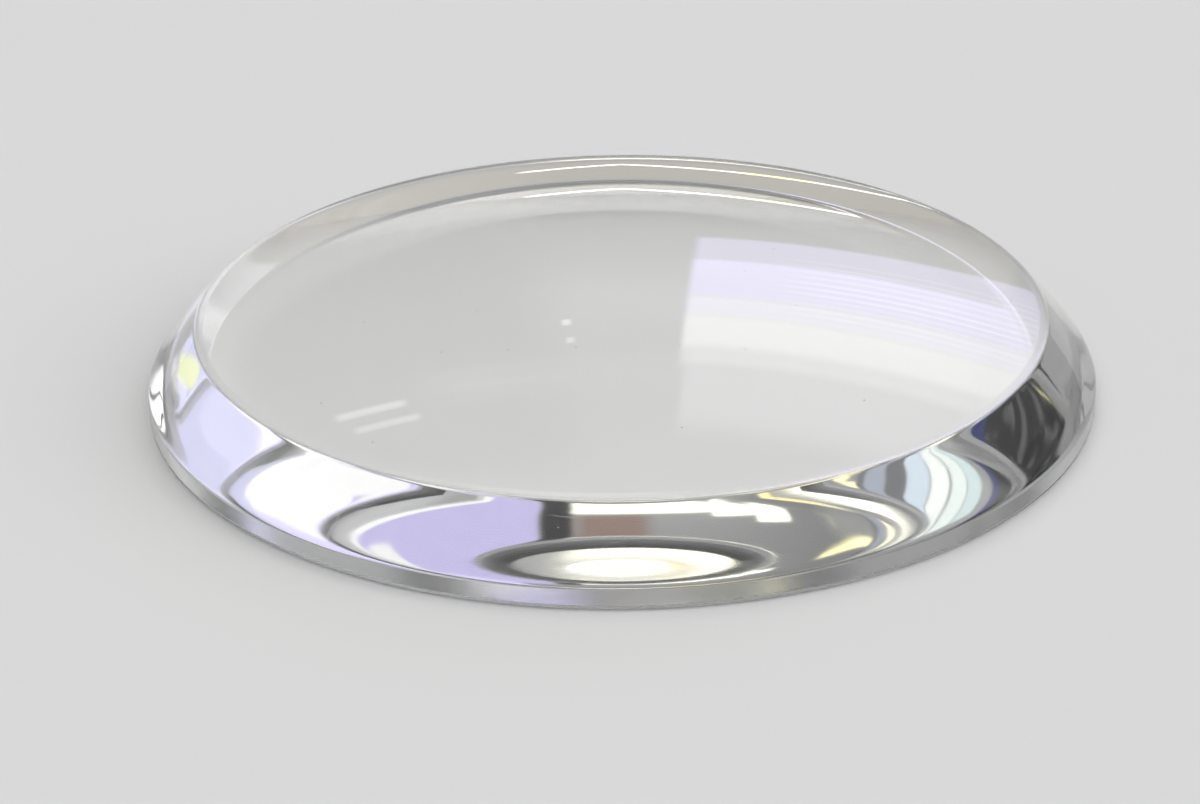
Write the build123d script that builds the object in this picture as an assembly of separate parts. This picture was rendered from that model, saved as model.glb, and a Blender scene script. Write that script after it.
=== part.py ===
from build123d import *
import math
import os

# Watch crystal: one clear disc of glass, a solid of revolution about Z.
# Millimetres, +Z up. The origin is on the axis, in the plane that the seat ring lies in.

# Driving dimensions

outside_radius = 15.75  # the cylindrical rim that goes into the case
top_edge_radius = 14.07  # where flank and dome would meet if the edge were sharp
top_edge_height = 2.77  # height of that sharp edge above the seat
dome_radius = 77.0  # outer dome, a shallow sphere
hollow_radius = 71.7  # underside dome, nearly parallel to the outer one
seat_width = 0.15  # flat ring round the hollow that the crystal stands on
foot_rounding = 0.20  # polished rounding between seat and rim
rim_land_height = 0.50  # length of the true cylinder, above the foot rounding
shoulder_height = 0.30  # how far above the land the rim's line would meet the flank's slope
top_rounding = 0.40  # polished rounding between flank and dome

# Heights and radii that follow from them


def cap_height(sphere_radius, mouth_radius):
    """Height of a spherical cap over a circular mouth."""
    return sphere_radius - math.sqrt(sphere_radius**2 - mouth_radius**2)


seat_outer_radius = outside_radius - foot_rounding
hollow_mouth_radius = seat_outer_radius - seat_width
hollow_height = cap_height(hollow_radius, hollow_mouth_radius)
dome_height = top_edge_height + cap_height(dome_radius, top_edge_radius)
rim_land_top = foot_rounding + rim_land_height


def underside_arc():
    """The underside, from its highest point on the axis out to the seat ring."""
    middle_radius = hollow_mouth_radius / 2
    hollow_top = Vector(0, 0, hollow_height)
    hollow_middle = Vector(middle_radius, 0, hollow_height - cap_height(hollow_radius, middle_radius))
    return ThreePointArc(hollow_top, hollow_middle, Vector(hollow_mouth_radius, 0, 0))


def foot_arc():
    """The quarter rounding from the seat ring up to the rim."""
    half_way = foot_rounding * math.sqrt(0.5)
    seat_edge = Vector(seat_outer_radius, 0, 0)
    foot_middle = Vector(seat_outer_radius + half_way, 0, foot_rounding - half_way)
    return ThreePointArc(seat_edge, foot_middle, Vector(outside_radius, 0, foot_rounding))


def flank_curve():
    """The flank, which leaves the rim upright and bends over towards the dome's edge."""
    land_top = Vector(outside_radius, 0, rim_land_top)
    shoulder = Vector(outside_radius, 0, rim_land_top + shoulder_height)
    return Bezier(land_top, shoulder, Vector(top_edge_radius, 0, top_edge_height))


def dome_arc():
    """The outer dome, from its edge to its highest point on the axis."""
    middle_radius = top_edge_radius / 2
    dome_edge = Vector(top_edge_radius, 0, top_edge_height)
    dome_middle = Vector(middle_radius, 0, dome_height - cap_height(dome_radius, middle_radius))
    return ThreePointArc(dome_edge, dome_middle, Vector(0, 0, dome_height))


def crystal_profile():
    """Half section in the XZ plane, from the axis out along the underside, up the edge and back."""
    underside = underside_arc()
    foot = foot_arc()
    flank = flank_curve()
    dome = dome_arc()
    edges = [
        underside,
        Line(underside @ 1, foot @ 0),
        foot,
        Line(foot @ 1, flank @ 0),
        flank,
        dome,
        Line(dome @ 1, underside @ 0),
    ]
    return make_face(edges)


def crystal():
    """The whole crystal: its section turned once round the axis, then the dome's edge rounded."""
    sharp_edged = revolve(crystal_profile(), Axis.Z)
    full_circles = sharp_edged.edges().filter_by(lambda edge: edge.is_closed)
    dome_edge = full_circles.sort_by(Axis.Z)[-1]
    return fillet(dome_edge, top_rounding)


os.makedirs("parts", exist_ok=True)
export_step(crystal(), "parts/crystal.step")
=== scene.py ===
import math

import bmesh
import bpy
from mathutils import Matrix, Quaternion, Vector


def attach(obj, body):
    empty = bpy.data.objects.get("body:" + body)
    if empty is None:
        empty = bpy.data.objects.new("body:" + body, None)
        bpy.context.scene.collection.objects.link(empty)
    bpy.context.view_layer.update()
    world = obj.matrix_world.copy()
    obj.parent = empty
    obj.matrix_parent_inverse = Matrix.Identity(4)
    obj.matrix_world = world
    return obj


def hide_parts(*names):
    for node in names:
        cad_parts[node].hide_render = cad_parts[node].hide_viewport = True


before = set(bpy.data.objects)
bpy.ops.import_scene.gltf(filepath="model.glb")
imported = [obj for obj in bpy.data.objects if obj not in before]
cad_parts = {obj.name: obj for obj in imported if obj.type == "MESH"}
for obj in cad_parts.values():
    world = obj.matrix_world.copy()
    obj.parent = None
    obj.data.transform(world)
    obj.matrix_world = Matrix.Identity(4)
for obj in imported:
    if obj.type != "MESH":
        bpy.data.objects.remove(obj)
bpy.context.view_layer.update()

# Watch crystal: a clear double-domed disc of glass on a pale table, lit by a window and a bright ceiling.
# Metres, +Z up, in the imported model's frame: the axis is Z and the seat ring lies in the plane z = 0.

MM = 0.001

# Sizes of the glass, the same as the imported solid's

OUTSIDE_RADIUS = 15.75 * MM
TOP_EDGE_RADIUS = 14.07 * MM
TOP_EDGE_HEIGHT = 2.77 * MM
DOME_RADIUS = 77.0 * MM
HOLLOW_RADIUS = 71.7 * MM
SEAT_WIDTH = 0.15 * MM
FOOT_ROUNDING = 0.20 * MM
RIM_LAND_HEIGHT = 0.50 * MM
SHOULDER_HEIGHT = 0.30 * MM
TOP_ROUNDING = 0.40 * MM

# How finely the glass is divided

ROUND_STEPS = 384
DOME_STEPS = 40
HOLLOW_STEPS = 40
FLANK_STEPS = 32
ROUNDING_STEPS = 10
SHARP_ANGLE = math.radians(12)


def cap_height(sphere_radius, mouth_radius):
    """Height of a spherical cap over a circular mouth."""
    return sphere_radius - math.sqrt(sphere_radius**2 - mouth_radius**2)


SEAT_OUTER_RADIUS = OUTSIDE_RADIUS - FOOT_ROUNDING
HOLLOW_MOUTH_RADIUS = SEAT_OUTER_RADIUS - SEAT_WIDTH
HOLLOW_HEIGHT = cap_height(HOLLOW_RADIUS, HOLLOW_MOUTH_RADIUS)
DOME_HEIGHT = TOP_EDGE_HEIGHT + cap_height(DOME_RADIUS, TOP_EDGE_RADIUS)


# Helpers for shader nodes


def link(tree, source, target):
    """Joins an output to an input."""
    tree.links.new(source, target)


def math_node(tree, operation, first, second=None, third=None):
    """A Math node whose inputs are sockets or plain numbers."""
    made = tree.nodes.new("ShaderNodeMath")
    made.operation = operation
    for socket, value in zip(made.inputs, (first, second, third)):
        if value is None:
            continue
        if isinstance(value, (int, float)):
            socket.default_value = value
        else:
            link(tree, value, socket)
    return made.outputs[0]


def smooth_step(tree, value, low, high):
    """0 at low and 1 at high, with a smooth rise between them; low may be the larger number."""
    made = tree.nodes.new("ShaderNodeMapRange")
    made.interpolation_type = "SMOOTHSTEP"
    made.inputs["From Min"].default_value = low
    made.inputs["From Max"].default_value = high
    link(tree, value, made.inputs["Value"])
    return made.outputs["Result"]


def mix_colour(tree, factor, first, second):
    """Blends two colours, each a socket or a plain colour."""
    made = tree.nodes.new("ShaderNodeMix")
    made.data_type = "RGBA"
    link(tree, factor, made.inputs["Factor"])
    for socket, value in ((made.inputs[6], first), (made.inputs[7], second)):
        if isinstance(value, tuple):
            socket.default_value = (*value, 1.0)
        else:
            link(tree, value, socket)
    return made.outputs[2]


# The room, as a pattern of directions: bearing from +Y towards +X and height above the table, in degrees

TABLE_GLOW = (0.70, 0.70, 0.695)
# Brightness of the plain wall and ceiling at some heights
WALL_LEVELS = (
    (0, 0.30), (9, 0.22), (13, 0.40), (21, 0.50), (26, 0.68),
    (30, 0.54), (40, 0.56), (52, 0.75), (66, 1.35), (90, 1.4)
)
WALL_WARMTH = 0.995
# Each patch: lowest and highest bearing, lowest and highest height, softness of each, colour
ROOM_PATCHES = (
    ("dim wall", (-80.0, -3.0), (0.0, 45.0), 2.5, 4.0, (0.40, 0.40, 0.40)),
    ("warm wall", (-10.0, 10.0), (34.0, 36.4), 2.0, 0.5, (0.66, 0.63, 0.575)),
    ("window pane", (3.5, 46.0), (17.8, 26.3), 0.25, 0.3, (1.38, 1.28, 1.85)),
    ("window top light", (3.5, 40.0), (26.3, 33.0), 0.25, 0.8, (1.85, 1.85, 1.83)),
    ("curtain", (3.8, 40.0), (33.0, 41.0), 0.3, 1.2, (1.12, 1.12, 1.12)),
    ("side window", (80.0, 120.0), (12.0, 50.0), 4.0, 4.0, (2.7, 2.7, 2.7)),
    ("ceiling lamp", (-31.0, 4.4), (48.8, 57.0), 0.3, 0.5, (3.2, 3.1, 2.6)),
    ("ceiling beam", (-60.0, 60.0), (57.6, 65.0), 3.0, 0.4, (0.25, 0.25, 0.25)),
    ("small lamp", (-2.3, -1.9), (29.5, 30.2), 0.15, 0.15, (2.5, 2.5, 2.5)),
    ("lamp strip", (-15.0, -11.2), (36.3, 37.0), 0.3, 0.2, (2.2, 2.2, 2.2)),
)
# A thin bright line low behind the table, which bends up on both sides
SKIRTING_MIDDLE = 0.5
SKIRTING_BEND = 0.38
SKIRTING_LINES = (
    ("bright skirting", (-2.6, 11.5), (2.62, 2.90), 0.3, 0.08, (4.2, 4.1, 3.7)),
    ("yellow skirting", (4.2, 6.6), (2.62, 2.90), 0.4, 0.08, (5.0, 4.6, 1.8)),
)
# What only light guided round inside the glass comes from: it leaves by the far side, close to the table.
# Light that has met the table comes from the plain room.
GUIDED_BOUNCES = 5
GUIDED_PATCHES = (
    ("low wall", (-12.0, 60.0), (0.5, 17.0), 2.0, 0.8, (0.62, 0.62, 0.62)),
    ("side ceiling", (15.0, 60.0), (43.0, 57.0), 1.0, 1.0, (1.10, 1.10, 1.10)),
    ("low light", (6.9, 17.5), (25.0, 27.8), 0.15, 0.2, (1.70, 1.70, 1.69)),
    ("near pane", (2.4, 6.9), (24.0, 29.6), 0.1, 0.3, (1.05, 0.96, 1.50)),
    ("next pane", (6.8, 9.5), (27.7, 29.6), 0.1, 0.2, (1.05, 0.96, 1.50)),
    ("side pane", (18.0, 46.0), (17.8, 36.0), 0.6, 0.5, (1.15, 1.14, 1.52)),
    ("yellow pane", (32.5, 39.5), (22.8, 25.6), 0.8, 0.5, (1.60, 1.65, 1.05)),
    ("pale wall", (39.5, 62.0), (12.0, 38.0), 1.0, 1.0, (0.95, 0.95, 0.95)),
    ("window frame", (1.6, 2.35), (25.0, 30.5), 0.1, 0.3, (0.05, 0.05, 0.05)),
    ("brown wall", (-0.1, 1.5), (26.9, 29.6), 0.3, 0.3, (0.50, 0.35, 0.30)),
    ("strip light", (-1.8, 1.6), (25.9, 26.75), 0.15, 0.12, (3.2, 3.2, 2.7)),
    ("strip light bend", (-2.9, -1.6), (26.2, 27.1), 0.1, 0.12, (3.2, 3.2, 2.7)),
    ("strip light end", (-3.6, -2.7), (26.7, 27.6), 0.1, 0.12, (3.2, 3.2, 2.7)),
    ("yellow strip", (-6.9, -4.9), (27.0, 27.8), 0.1, 0.15, (2.6, 2.4, 1.3)),
    ("high lamp", (-8.0, 3.8), (31.5, 47.0), 0.3, 0.6, (2.6, 2.55, 2.4)),
    ("yellow lamp", (-8.0, -1.3), (31.5, 47.0), 0.8, 1.0, (2.2, 1.9, 0.95)),
    ("grey shelf", (-60.0, -7.0), (4.0, 36.0), 0.4, 0.8, (0.50, 0.50, 0.50)),
    ("dark shelf", (-30.0, -15.8), (19.5, 31.0), 0.3, 0.6, (0.02, 0.02, 0.022)),
    ("navy edge", (-16.8, -15.6), (19.5, 31.0), 0.2, 0.6, (0.05, 0.06, 0.22)),
    ("yellow edge", (-29.5, -25.0), (27.5, 27.85), 0.3, 0.12, (1.3, 1.25, 0.6)),
    ("dark book", (-9.1, -6.9), (24.5, 31.0), 0.1, 0.4, (0.16, 0.16, 0.17)),
    ("grey book", (-8.1, -7.2), (24.5, 31.0), 0.1, 0.4, (0.54, 0.59, 0.70)),
    ("blue book", (-10.3, -9.1), (24.5, 31.0), 0.1, 0.4, (1.00, 1.15, 1.31)),
    ("white book", (-11.5, -10.4), (24.5, 31.0), 0.1, 0.4, (1.52, 1.57, 1.52)),
    ("green book", (-12.8, -11.7), (24.5, 31.0), 0.1, 0.4, (1.35, 1.48, 1.40)),
    ("teal book", (-14.2, -12.9), (24.5, 31.5), 0.1, 0.4, (1.00, 1.20, 1.20)),
    ("yellow top", (-11.0, -8.3), (28.8, 31.5), 0.2, 0.3, (2.6, 2.5, 1.7)),
)
# Small grey things on the dark shelf
CLUTTER_BEARINGS = (-30.0, -17.0)
CLUTTER_HEIGHTS = (19.5, 30.0)
CLUTTER_SOFTNESS = (0.4, 0.6)
CLUTTER_SCALE = 55.0
CLUTTER_EDGE = (0.50, 0.62)
CLUTTER_COLOUR = (0.16, 0.16, 0.16)
# Slats of the blind behind the window's lower pane
SLAT_BEARINGS = (8.0, 46.0)
SLAT_HEIGHTS = (20.0, 25.6)
SLAT_SOFTNESS = (2.0, 0.8)
SLAT_SPACING = 0.8
SLAT_EDGE = (0.2, 1.0)
SLAT_COLOUR = (1.75, 1.70, 2.10)


def between(tree, value, low, high, softness):
    """1 between two limits and 0 outside them, with soft edges."""
    rise = smooth_step(tree, value, low - softness, low + softness)
    fall = smooth_step(tree, value, high - softness, high + softness)
    return math_node(tree, "SUBTRACT", rise, fall)


def lay_patches(tree, patches, bearing, height, colour):
    """Lays soft-edged patches of light over a colour, one after the other."""
    for name, bearings, heights, soft_side, soft_end, shade in patches:
        across = between(tree, bearing, *bearings, soft_side)
        up = between(tree, height, *heights, soft_end)
        colour = mix_colour(tree, math_node(tree, "MULTIPLY", across, up), colour, shade)
    return colour


def lay_clutter(tree, directions, bearing, height, colour):
    """Small grey things standing about on the dark shelf."""
    grain = tree.nodes.new("ShaderNodeTexNoise")
    grain.inputs["Scale"].default_value = CLUTTER_SCALE
    grain.inputs["Detail"].default_value = 2.0
    link(tree, directions, grain.inputs["Vector"])
    things = smooth_step(tree, grain.outputs["Fac"], *CLUTTER_EDGE)
    across = between(tree, bearing, *CLUTTER_BEARINGS, CLUTTER_SOFTNESS[0])
    up = between(tree, height, *CLUTTER_HEIGHTS, CLUTTER_SOFTNESS[1])
    shelf = math_node(tree, "MULTIPLY", across, up)
    return mix_colour(tree, math_node(tree, "MULTIPLY", things, shelf), colour, CLUTTER_COLOUR)


def lay_slats(tree, bearing, height, colour):
    """Faint level slats over the window's lower pane."""
    wave = math_node(tree, "SINE", math_node(tree, "MULTIPLY", height, 2 * math.pi / SLAT_SPACING))
    slats = smooth_step(tree, wave, *SLAT_EDGE)
    across = between(tree, bearing, *SLAT_BEARINGS, SLAT_SOFTNESS[0])
    up = between(tree, height, *SLAT_HEIGHTS, SLAT_SOFTNESS[1])
    pane = math_node(tree, "MULTIPLY", across, up)
    return mix_colour(tree, math_node(tree, "MULTIPLY", slats, pane), colour, SLAT_COLOUR)


def make_room():
    """The world: what the glass reflects and passes on, with a plain pale backdrop for the camera."""
    world = bpy.data.worlds.new("room")
    bpy.context.scene.world = world
    world.use_nodes = True
    world.cycles.sampling_method = "NONE"
    tree = world.node_tree
    tree.nodes.clear()
    place = tree.nodes.new("ShaderNodeTexCoord")
    parts = tree.nodes.new("ShaderNodeSeparateXYZ")
    link(tree, place.outputs["Generated"], parts.inputs[0])
    turn = math_node(tree, "ARCTAN2", parts.outputs["X"], parts.outputs["Y"])
    bearing = math_node(tree, "MULTIPLY", turn, 180 / math.pi)
    rise = math_node(tree, "ARCSINE", parts.outputs["Z"])
    height = math_node(tree, "MULTIPLY", rise, 180 / math.pi)
    ramp = tree.nodes.new("ShaderNodeValToRGB")
    link(tree, math_node(tree, "DIVIDE", height, 90.0), ramp.inputs["Fac"])
    stops = ramp.color_ramp.elements
    while len(stops) < len(WALL_LEVELS):
        stops.new(0.5)
    for stop, (at, level) in zip(stops, WALL_LEVELS):
        stop.position = at / 90
        stop.color = (level, level, level * WALL_WARMTH, 1.0)
    seen = tree.nodes.new("ShaderNodeLightPath")
    guided = math_node(tree, "GREATER_THAN", seen.outputs["Ray Depth"], GUIDED_BOUNCES - 0.5)
    guided = math_node(tree, "SUBTRACT", guided, seen.outputs["Is Diffuse Ray"])
    plain = lay_patches(tree, ROOM_PATCHES, bearing, height, ramp.outputs["Color"])
    off_middle = math_node(tree, "ABSOLUTE", math_node(tree, "SUBTRACT", bearing, SKIRTING_MIDDLE))
    bend = math_node(tree, "MULTIPLY", off_middle, SKIRTING_BEND)
    bent_height = math_node(tree, "SUBTRACT", height, bend)
    plain = lay_patches(tree, SKIRTING_LINES, bearing, bent_height, plain)
    far = lay_patches(tree, GUIDED_PATCHES, bearing, height, plain)
    far = lay_clutter(tree, place.outputs["Generated"], bearing, height, far)
    colour = mix_colour(tree, guided, lay_slats(tree, bearing, height, plain), far)
    room = tree.nodes.new("ShaderNodeBackground")
    link(tree, colour, room.inputs["Color"])
    backdrop = tree.nodes.new("ShaderNodeBackground")
    backdrop.inputs["Color"].default_value = (*TABLE_GLOW, 1.0)
    choice = tree.nodes.new("ShaderNodeMixShader")
    link(tree, seen.outputs["Is Camera Ray"], choice.inputs["Fac"])
    link(tree, room.outputs[0], choice.inputs[1])
    link(tree, backdrop.outputs[0], choice.inputs[2])
    out = tree.nodes.new("ShaderNodeOutputWorld")
    link(tree, choice.outputs[0], out.inputs["Surface"])


# The camera, from the outline of the two rims in the picture

CAMERA_TARGET = Vector((-0.735, 0.0, -0.800)) * MM
CAMERA_DISTANCE = 100.0 * MM
CAMERA_HEIGHT_ANGLE = math.radians(25.527)
CAMERA_ROLL = math.radians(-0.795)
CAMERA_LENS = 88.78


def make_camera():
    """The camera, which looks down at the near side of the glass."""
    data = bpy.data.cameras.new("camera")
    data.sensor_width = 36.0
    data.lens = CAMERA_LENS
    data.clip_start = 0.005
    data.clip_end = 20.0
    camera = bpy.data.objects.new("camera", data)
    bpy.context.scene.collection.objects.link(camera)
    back = Vector((0.0, -math.cos(CAMERA_HEIGHT_ANGLE), math.sin(CAMERA_HEIGHT_ANGLE)))
    camera.location = CAMERA_TARGET + back * CAMERA_DISTANCE
    camera.rotation_mode = "QUATERNION"
    camera.rotation_quaternion = back.to_track_quat("Z", "Y") @ Quaternion((0.0, 0.0, 1.0), CAMERA_ROLL)
    bpy.context.scene.camera = camera


# The table

TABLE_RADIUS = 3.0
TABLE_COLOUR = (0.735, 0.737, 0.740)


def make_table():
    """A wide round table of white card, whose top lies in the seat plane."""
    bm = bmesh.new()
    bmesh.ops.create_circle(bm, cap_ends=True, segments=128, radius=TABLE_RADIUS)
    mesh = bpy.data.meshes.new("table")
    bm.to_mesh(mesh)
    bm.free()
    table = bpy.data.objects.new("table", mesh)
    bpy.context.scene.collection.objects.link(table)
    material = bpy.data.materials.new("white_card")
    material.use_nodes = True
    shader = material.node_tree.nodes["Principled BSDF"]
    shader.inputs["Base Color"].default_value = (*TABLE_COLOUR, 1.0)
    shader.inputs["Roughness"].default_value = 0.9
    shader.inputs["Specular IOR Level"].default_value = 0.1
    mesh.materials.append(material)


# The glass's shape


def arc(bm, vert, centre, angle, steps):
    """Carries a vertex round a centre in the XZ plane and returns the last one of its line."""
    made = bmesh.ops.spin(
        bm, geom=[vert], cent=centre, axis=(0.0, 1.0, 0.0), angle=angle, steps=steps, use_duplicate=False
    )
    return next(g for g in made["geom_last"] if isinstance(g, bmesh.types.BMVert))


def line(bm, vert, point):
    """Joins a vertex to a new one at a point and returns the new one."""
    end = bm.verts.new(point)
    bm.edges.new((vert, end))
    return end


def flank_point(share):
    """A point of the flank's curve, from the land's top at share 0 to the sharp dome edge at share 1."""
    land_top = Vector((OUTSIDE_RADIUS, 0.0, FOOT_ROUNDING + RIM_LAND_HEIGHT))
    shoulder = land_top + Vector((0.0, 0.0, SHOULDER_HEIGHT))
    sharp_edge = Vector((TOP_EDGE_RADIUS, 0.0, TOP_EDGE_HEIGHT))
    return land_top.lerp(shoulder, share).lerp(shoulder.lerp(sharp_edge, share), share)


def flank_direction(share):
    """The flank's slope at a point of its curve, pointing towards the dome edge."""
    step = 1e-4
    return (flank_point(share + step) - flank_point(share - step)).normalized()


def dome_point(angle):
    """A point of the dome, by its angle from the axis as seen from the dome's centre."""
    centre = Vector((0.0, 0.0, DOME_HEIGHT - DOME_RADIUS))
    return centre + Vector((math.sin(angle), 0.0, math.cos(angle))) * DOME_RADIUS


def top_rounding():
    """Centre of the top edge's rounding and the place on the flank where it begins, by bisection."""
    low, high = 0.5, 1.0
    for _ in range(40):
        share = (low + high) / 2
        direction = flank_direction(share)
        inward = Vector((-direction.z, 0.0, direction.x))
        centre = flank_point(share) + inward * TOP_ROUNDING
        depth = DOME_RADIUS - (centre - dome_point(0.0) + Vector((0.0, 0.0, DOME_RADIUS))).length
        low, high = (share, high) if depth > TOP_ROUNDING else (low, share)
    return centre, share


def crystal_section(bm):
    """Half section, from the dome's top out over the rounded edge, down the flank and back underneath."""
    rounding_centre, flank_end = top_rounding()
    dome_centre = Vector((0.0, 0.0, DOME_HEIGHT - DOME_RADIUS))
    hollow_centre = Vector((0.0, 0.0, HOLLOW_HEIGHT - HOLLOW_RADIUS))
    foot_centre = Vector((SEAT_OUTER_RADIUS, 0.0, FOOT_ROUNDING))
    to_edge = rounding_centre - dome_centre
    dome_angle = math.atan2(to_edge.x, to_edge.z)
    hollow_angle = math.asin(HOLLOW_MOUTH_RADIUS / HOLLOW_RADIUS)
    flank_start = flank_point(flank_end)
    to_flank = flank_start - rounding_centre
    turn = math.atan2(to_flank.x, to_flank.z) - dome_angle
    vert = bm.verts.new((0.0, 0.0, DOME_HEIGHT))
    vert = arc(bm, vert, dome_centre, dome_angle, DOME_STEPS)
    vert = arc(bm, vert, rounding_centre, turn, ROUNDING_STEPS)
    for step in range(1, FLANK_STEPS + 1):
        vert = line(bm, vert, flank_point(flank_end * (1 - step / FLANK_STEPS)))
    vert = line(bm, vert, (OUTSIDE_RADIUS, 0.0, FOOT_ROUNDING))
    vert = arc(bm, vert, foot_centre, math.pi / 2, ROUNDING_STEPS)
    vert = line(bm, vert, (HOLLOW_MOUTH_RADIUS, 0.0, 0.0))
    arc(bm, vert, hollow_centre, -hollow_angle, HOLLOW_STEPS)


def crystal_mesh():
    """The half section turned once round the axis, with smooth shading up to its sharp edges."""
    bm = bmesh.new()
    crystal_section(bm)
    bmesh.ops.spin(
        bm, geom=bm.verts[:] + bm.edges[:], cent=(0.0, 0.0, 0.0), axis=(0.0, 0.0, 1.0),
        angle=2 * math.pi, steps=ROUND_STEPS, use_merge=True, use_duplicate=False
    )
    bmesh.ops.remove_doubles(bm, verts=bm.verts[:], dist=1e-7)
    bmesh.ops.recalc_face_normals(bm, faces=bm.faces[:])
    for face in bm.faces:
        face.smooth = True
    for edge in bm.edges:
        edge.smooth = edge.calc_face_angle(0.0) < SHARP_ANGLE
    mesh = bpy.data.meshes.new("crystal_glass")
    bm.to_mesh(mesh)
    bm.free()
    return mesh


# The glass's finish

GLASS_TINT = (1.0, 1.0, 1.0)
GLASS_INDEX = 1.5
ABSORPTION_COLOUR = (0.50, 0.51, 0.50)
ABSORPTION_DENSITY = 30.0
RIM_ROUGHNESS = 0.12
FOOT_ROUGHNESS = 0.30
EDGE_ROUGHNESS = 0.22
FLANK_ROUGHNESS = 0.03
MARK_ROUGHNESS = 0.12
SPECK_SPACING = 2.6 * MM
SPECK_RADIUS = 0.05 * MM
SPECK_RARITY = 0.66
SPECK_COLOUR = (0.45, 0.43, 0.40)
SCRATCH_SPACING = 5.0 * MM
SCRATCH_BEND = 6.0 * MM
SCRATCH_WIDTH = 0.014 * MM
SCRATCH_BREAKS = (0.62, 0.68)
EDGE_SOFTNESS = 0.08 * MM
# Where the rounded edge's satin begins, as a share of the rounding
EDGE_INSET = 0.7
# Where the satin of rim and foot fades out and where it is full, as shares of their heights
RIM_FADE = (1.15, 0.95)
FOOT_FADE = (1.05, 0.85)


def specks(tree, place):
    """1 on a few tiny specks of dust, 0 elsewhere."""
    cells = tree.nodes.new("ShaderNodeTexVoronoi")
    cells.voronoi_dimensions = "2D"
    cells.inputs["Scale"].default_value = 1.0 / SPECK_SPACING
    link(tree, place, cells.inputs["Vector"])
    size = SPECK_RADIUS / SPECK_SPACING
    near = smooth_step(tree, cells.outputs["Distance"], size, 0.4 * size)
    picked = math_node(tree, "GREATER_THAN", cells.outputs["Color"], SPECK_RARITY)
    return math_node(tree, "MULTIPLY", near, picked)


def scratches(tree, place):
    """1 along thin, slightly bent lines, broken up by soft noise."""
    soft = tree.nodes.new("ShaderNodeTexNoise")
    soft.noise_dimensions = "2D"
    soft.inputs["Scale"].default_value = 1.0 / SCRATCH_BEND
    soft.inputs["Detail"].default_value = 0.0
    link(tree, place, soft.inputs["Vector"])
    bent = tree.nodes.new("ShaderNodeVectorMath")
    bent.operation = "MULTIPLY_ADD"
    link(tree, soft.outputs["Color"], bent.inputs[0])
    bent.inputs[1].default_value = (SCRATCH_BEND, SCRATCH_BEND, 0.0)
    link(tree, place, bent.inputs[2])
    cells = tree.nodes.new("ShaderNodeTexVoronoi")
    cells.voronoi_dimensions = "2D"
    cells.feature = "DISTANCE_TO_EDGE"
    cells.inputs["Scale"].default_value = 1.0 / SCRATCH_SPACING
    link(tree, bent.outputs["Vector"], cells.inputs["Vector"])
    width = SCRATCH_WIDTH / SCRATCH_SPACING
    on_line = smooth_step(tree, cells.outputs["Distance"], width, 0.3 * width)
    broken = smooth_step(tree, soft.outputs["Fac"], *SCRATCH_BREAKS)
    return math_node(tree, "MULTIPLY", on_line, broken)


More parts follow.
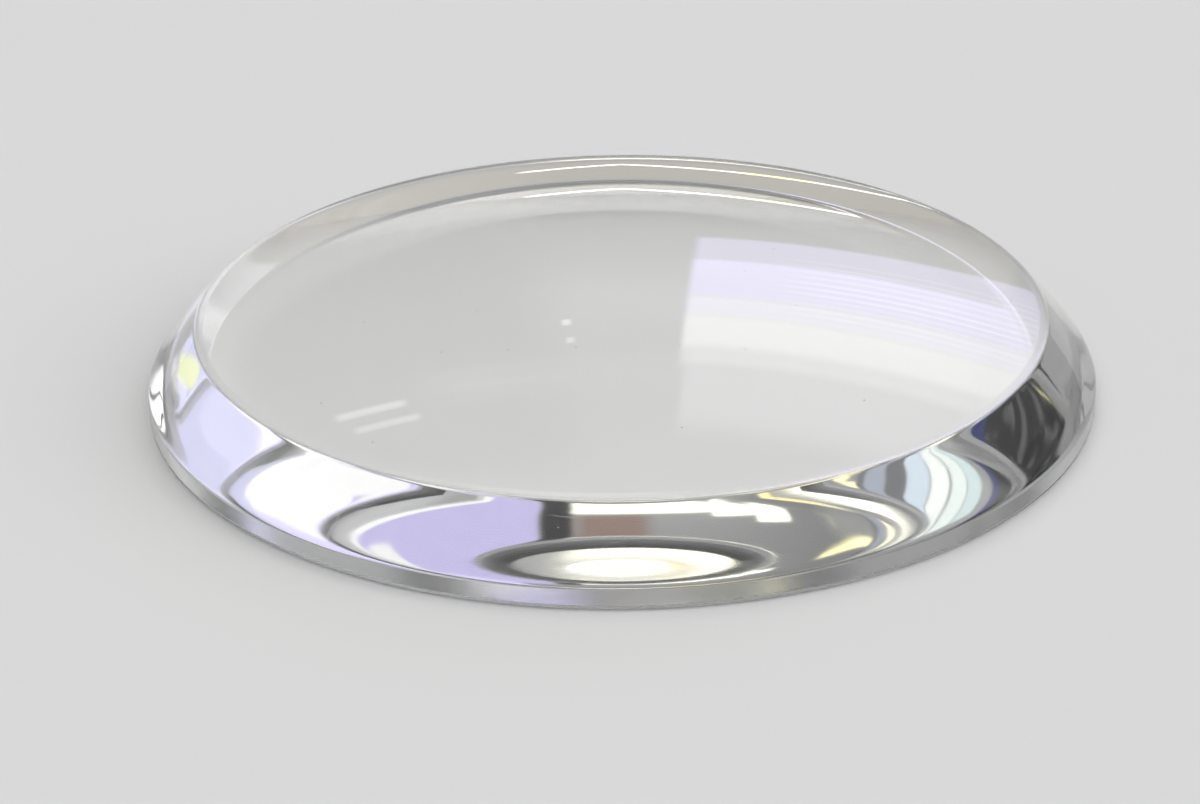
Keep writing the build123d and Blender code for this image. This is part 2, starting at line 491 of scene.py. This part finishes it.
def glass_material():
    """Clear glass with a satin rim, foot and top edge, faint scratches and a few specks of dust."""
    material = bpy.data.materials.new("clear_glass")
    material.use_nodes = True
    tree = material.node_tree
    shader = tree.nodes["Principled BSDF"]
    shader.inputs["IOR"].default_value = GLASS_INDEX
    shader.inputs["Transmission Weight"].default_value = 1.0
    coordinates = tree.nodes.new("ShaderNodeTexCoord")
    place = coordinates.outputs["Object"]
    parts = tree.nodes.new("ShaderNodeSeparateXYZ")
    link(tree, place, parts.inputs[0])
    flat = tree.nodes.new("ShaderNodeCombineXYZ")
    link(tree, parts.outputs["X"], flat.inputs["X"])
    link(tree, parts.outputs["Y"], flat.inputs["Y"])
    from_axis = tree.nodes.new("ShaderNodeVectorMath")
    from_axis.operation = "LENGTH"
    link(tree, flat.outputs[0], from_axis.inputs[0])
    outside = smooth_step(tree, from_axis.outputs["Value"], HOLLOW_MOUTH_RADIUS, SEAT_OUTER_RADIUS)
    land_top = FOOT_ROUNDING + RIM_LAND_HEIGHT
    low = smooth_step(tree, parts.outputs["Z"], land_top * RIM_FADE[0], land_top * RIM_FADE[1])
    rim = math_node(tree, "MULTIPLY", outside, low)
    foot = smooth_step(tree, parts.outputs["Z"], FOOT_ROUNDING * FOOT_FADE[0], FOOT_ROUNDING * FOOT_FADE[1])
    foot = math_node(tree, "MULTIPLY", outside, foot)
    flank_start = TOP_EDGE_RADIUS - TOP_ROUNDING
    flank = smooth_step(tree, from_axis.outputs["Value"], flank_start, TOP_EDGE_RADIUS)
    edge_start = TOP_EDGE_RADIUS - EDGE_INSET * TOP_ROUNDING
    edge = between(tree, from_axis.outputs["Value"], edge_start, TOP_EDGE_RADIUS, EDGE_SOFTNESS)
    above = math_node(tree, "GREATER_THAN", parts.outputs["Z"], HOLLOW_HEIGHT)
    edge = math_node(tree, "MULTIPLY", edge, above)
    dome = math_node(tree, "SUBTRACT", above, math_node(tree, "MULTIPLY", above, flank))
    dust = math_node(tree, "MULTIPLY", specks(tree, place), dome)
    marks = math_node(tree, "MULTIPLY", scratches(tree, place), dome)
    rough = math_node(tree, "MULTIPLY", rim, RIM_ROUGHNESS)
    rough = math_node(tree, "MULTIPLY_ADD", foot, FOOT_ROUGHNESS, rough)
    rough = math_node(tree, "MULTIPLY_ADD", flank, FLANK_ROUGHNESS, rough)
    rough = math_node(tree, "MULTIPLY_ADD", edge, EDGE_ROUGHNESS, rough)
    marked = math_node(tree, "MAXIMUM", marks, dust)
    rough = math_node(tree, "MULTIPLY_ADD", marked, MARK_ROUGHNESS, rough)
    link(tree, rough, shader.inputs["Roughness"])
    link(tree, mix_colour(tree, dust, GLASS_TINT, SPECK_COLOUR), shader.inputs["Base Color"])
    depth = tree.nodes.new("ShaderNodeVolumeAbsorption")
    depth.inputs["Color"].default_value = (*ABSORPTION_COLOUR, 1.0)
    depth.inputs["Density"].default_value = ABSORPTION_DENSITY
    link(tree, depth.outputs[0], tree.nodes["Material Output"].inputs["Volume"])
    return material


def make_crystal():
    """The glass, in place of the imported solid."""
    mesh = crystal_mesh()
    mesh.materials.append(glass_material())
    glass = bpy.data.objects.new("crystal_glass", mesh)
    bpy.context.scene.collection.objects.link(glass)
    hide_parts("crystal")
    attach(glass, "root")


# The bright bands of the flank are light that is reflected up to fifteen times inside the glass

scene = bpy.context.scene
scene.view_settings.view_transform = "Standard"
scene.cycles.blur_glossy = 0.0
scene.cycles.max_bounces = 24
scene.cycles.glossy_bounces = 20
scene.cycles.transmission_bounces = 20

make_room()
make_camera()
make_table()
make_crystal()
